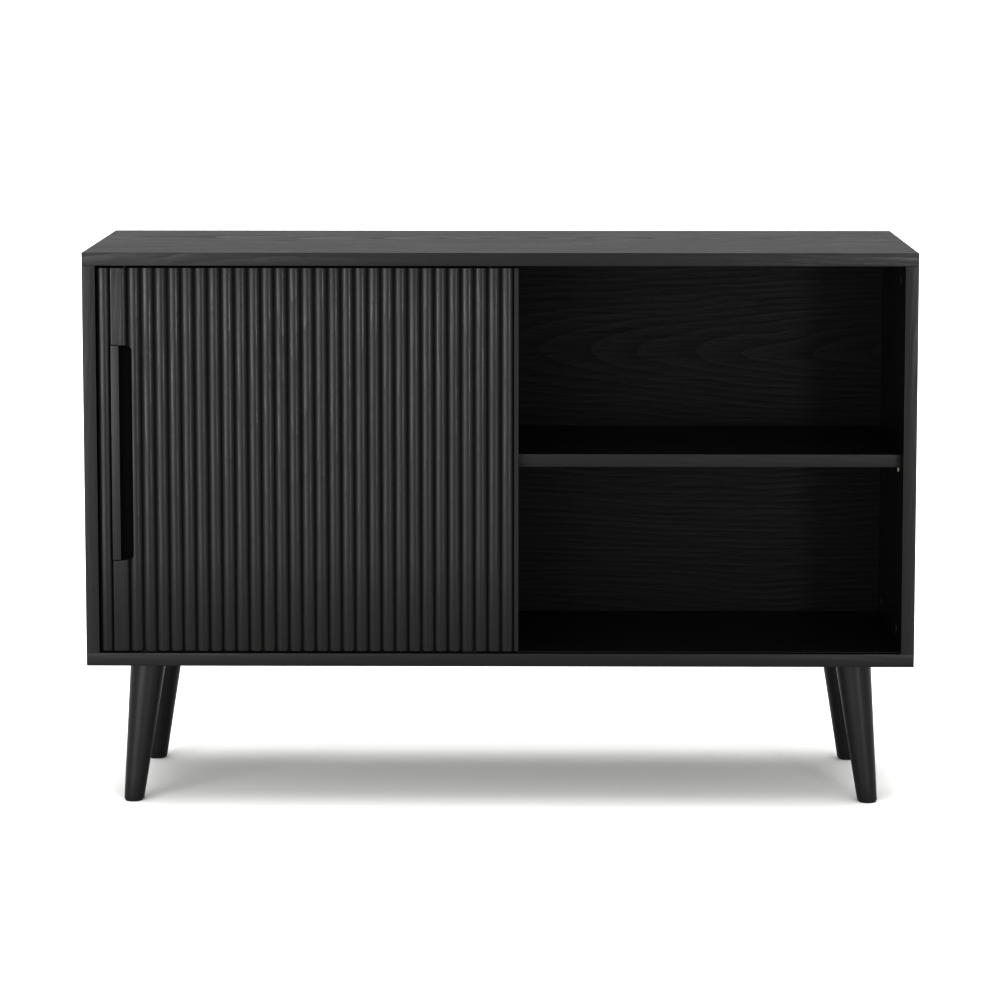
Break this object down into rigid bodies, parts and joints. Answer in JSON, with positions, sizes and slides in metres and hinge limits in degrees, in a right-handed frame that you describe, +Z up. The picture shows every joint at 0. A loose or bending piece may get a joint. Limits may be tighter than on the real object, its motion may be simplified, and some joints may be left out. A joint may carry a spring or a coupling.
{
  "type": "sideboard",
  "caption": "Low black wood-grain sideboard on splayed tapered legs; a reeded sliding door covers half of the case, and the other half is open with a shelf.",
  "frame": {"origin": "on the floor, under the middle of the case", "axes": "+X to the viewer's right along the width, the front faces -Y, +Z up"},
  "size_m": [1.2, 0.4, 0.817],
  "materials": {
    "grain_board": "black wood-grain foil on board, satin",
    "grain_edging": "black wood-grain edging, satin",
    "reeded_door": "black wood-grain foil over reeds, satin",
    "handle_bar": "black lacquer, satin",
    "leg_wood": "black lacquer, satin",
    "black_nylon": "moulded, matte",
    "nickel_steel": "nickel plated",
    "zinc_steel": "zinc plated",
    "raw_beech": "bare"
  },
  "bodies": {
    "case": {"top_panel": "grain_board", "bottom_panel": "grain_board", "left_side_panel": "grain_board", "right_side_panel": "grain_board", "centre_divider": "grain_board", "back_panel": "grain_board", "left_shelf": "grain_board", "right_shelf": "grain_board", "top_panel_edging": "grain_edging", "bottom_panel_edging": "grain_edging", "left_side_edging": "grain_edging", "right_side_edging": "grain_edging", "divider_edging": "grain_edging", "left_shelf_edging": "grain_edging", "right_shelf_edging": "grain_edging", "bottom_track": "black_nylon", "top_track": "black_nylon", "track_stops": "black_nylon", "leg_glides": "black_nylon", "cam_caps": "black_nylon", "left_shelf_supports": "nickel_steel", "right_shelf_supports": "nickel_steel", "front_left_leg_plate": "zinc_steel", "front_right_leg_plate": "zinc_steel", "rear_left_leg_plate": "zinc_steel", "rear_right_leg_plate": "zinc_steel", "leg_hanger_bolts": "zinc_steel", "leg_plate_screws": "zinc_steel", "cam_locks": "zinc_steel", "cam_bolts": "zinc_steel", "back_panel_screws": "zinc_steel", "wall_bracket": "zinc_steel", "wall_bracket_screw": "zinc_steel", "front_left_leg": "leg_wood", "front_right_leg": "leg_wood", "rear_left_leg": "leg_wood", "rear_right_leg": "leg_wood", "case_dowels": "raw_beech"},
    "door": {"door_panel": "reeded_door", "handle_bar": "handle_bar", "handle_bar_screws": "zinc_steel", "left_roller_housing": "black_nylon", "right_roller_housing": "black_nylon", "left_roller_axle": "zinc_steel", "right_roller_axle": "zinc_steel", "roller_housing_screws": "zinc_steel", "left_guide_sleeve": "black_nylon", "right_guide_sleeve": "black_nylon", "left_guide_spring": "zinc_steel", "right_guide_spring": "zinc_steel"},
    "left_roller": {"left_roller_wheel": "black_nylon"},
    "right_roller": {"right_roller_wheel": "black_nylon"},
    "left_plunger": {"left_guide_plunger": "black_nylon"},
    "right_plunger": {"right_guide_plunger": "black_nylon"}
  },
  "joints": [
    {"name": "door_slide", "type": "slide", "parent": "case", "child": "door", "axis": [1, 0, 0], "range_m": [0, 0.5532]},
    {"name": "left_roller_spin", "type": "hinge", "parent": "door", "child": "left_roller", "pos_m": [-0.51, -0.18675, 0.2404], "axis": [0, 1, 0], "range_deg": [-2, 2440.2]},
    {"name": "right_roller_spin", "type": "hinge", "parent": "door", "child": "right_roller", "pos_m": [-0.0432, -0.18675, 0.2404], "axis": [0, 1, 0], "range_deg": [-2, 2440.2]},
    {"name": "left_guide_press", "type": "slide", "parent": "door", "child": "left_plunger", "axis": [0, 0, 1], "range_m": [-0.0065, 0], "stiffness_N_per_m": 300, "springref_m": 0.004, "deforming": ["left_guide_spring"]},
    {"name": "right_guide_press", "type": "slide", "parent": "door", "child": "right_plunger", "axis": [0, 0, 1], "range_m": [-0.0065, 0], "stiffness_N_per_m": 300, "springref_m": 0.004, "deforming": ["right_guide_spring"]}
  ],
  "couplings": [
    {"joint": "left_roller_spin", "follows": "door_slide", "rad_per_m": 76.923},
    {"joint": "right_roller_spin", "follows": "door_slide", "rad_per_m": 76.923}
  ]
}
